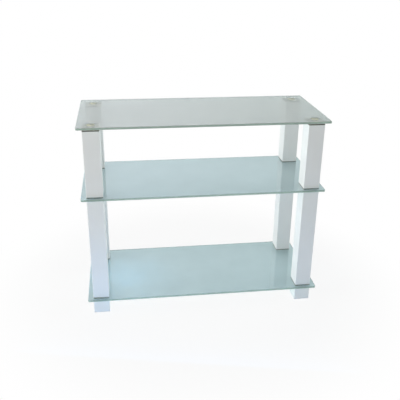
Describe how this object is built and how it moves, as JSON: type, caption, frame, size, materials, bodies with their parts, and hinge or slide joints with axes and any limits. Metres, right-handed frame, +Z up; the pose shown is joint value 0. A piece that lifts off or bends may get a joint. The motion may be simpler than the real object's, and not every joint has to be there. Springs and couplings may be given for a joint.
{
  "type": "tv stand",
  "caption": "Open TV stand: frosted glass shelves on rectangular white tube legs that are stacked in segments and clamped through the shelves by tie rods.",
  "frame": {"origin": "on the floor, under the middle of the stand", "axes": "+X along the width to the right as seen from the front, +Y towards the back, +Z up"},
  "size_m": [0.9, 0.4, 0.746],
  "materials": {
    "frosted_glass": "acid-etched satin faces, polished green edges",
    "leg_coat": "satin white powder coat on extruded aluminium",
    "black_rubber": "matt, die-cut",
    "disc_metal": "turned, bonded to the glass",
    "cap_nylon": "moulded, white",
    "plug_plastic": "moulded, black",
    "sleeve_nylon": "natural nylon",
    "rod_steel": "zinc plated"
  },
  "bodies": {
    "root": {"back_left_bottom_lower_gasket": "black_rubber", "back_left_bottom_upper_gasket": "black_rubber", "back_left_foot": "leg_coat", "back_left_foot_cap": "cap_nylon", "back_left_lower_leg": "leg_coat", "back_left_middle_lower_gasket": "black_rubber", "back_left_middle_upper_gasket": "black_rubber", "back_left_tie_rod": "rod_steel", "back_left_top_pad": "black_rubber", "back_left_upper_leg": "leg_coat", "back_right_bottom_lower_gasket": "black_rubber", "back_right_bottom_upper_gasket": "black_rubber", "back_right_foot": "leg_coat", "back_right_foot_cap": "cap_nylon", "back_right_lower_leg": "leg_coat", "back_right_middle_lower_gasket": "black_rubber", "back_right_middle_upper_gasket": "black_rubber", "back_right_tie_rod": "rod_steel", "back_right_top_pad": "black_rubber", "back_right_upper_leg": "leg_coat", "bottom_glass": "frosted_glass", "bottom_glass_sleeves": "sleeve_nylon", "foot_top_plugs": "plug_plastic", "front_left_bottom_lower_gasket": "black_rubber", "front_left_bottom_upper_gasket": "black_rubber", "front_left_foot": "leg_coat", "front_left_foot_cap": "cap_nylon", "front_left_lower_leg": "leg_coat", "front_left_middle_lower_gasket": "black_rubber", "front_left_middle_upper_gasket": "black_rubber", "front_left_tie_rod": "rod_steel", "front_left_top_pad": "black_rubber", "front_left_upper_leg": "leg_coat", "front_right_bottom_lower_gasket": "black_rubber", "front_right_bottom_upper_gasket": "black_rubber", "front_right_foot": "leg_coat", "front_right_foot_cap": "cap_nylon", "front_right_lower_leg": "leg_coat", "front_right_middle_lower_gasket": "black_rubber", "front_right_middle_upper_gasket": "black_rubber", "front_right_tie_rod": "rod_steel", "front_right_top_pad": "black_rubber", "front_right_upper_leg": "leg_coat", "lower_leg_base_plugs": "plug_plastic", "lower_leg_top_plugs": "plug_plastic", "middle_glass": "frosted_glass", "middle_glass_sleeves": "sleeve_nylon", "tie_rod_nuts": "rod_steel", "tie_rod_washers": "rod_steel", "top_discs": "disc_metal", "top_glass": "frosted_glass", "upper_leg_base_plugs": "plug_plastic", "upper_leg_top_plugs": "plug_plastic"}
  },
  "joints": []
}
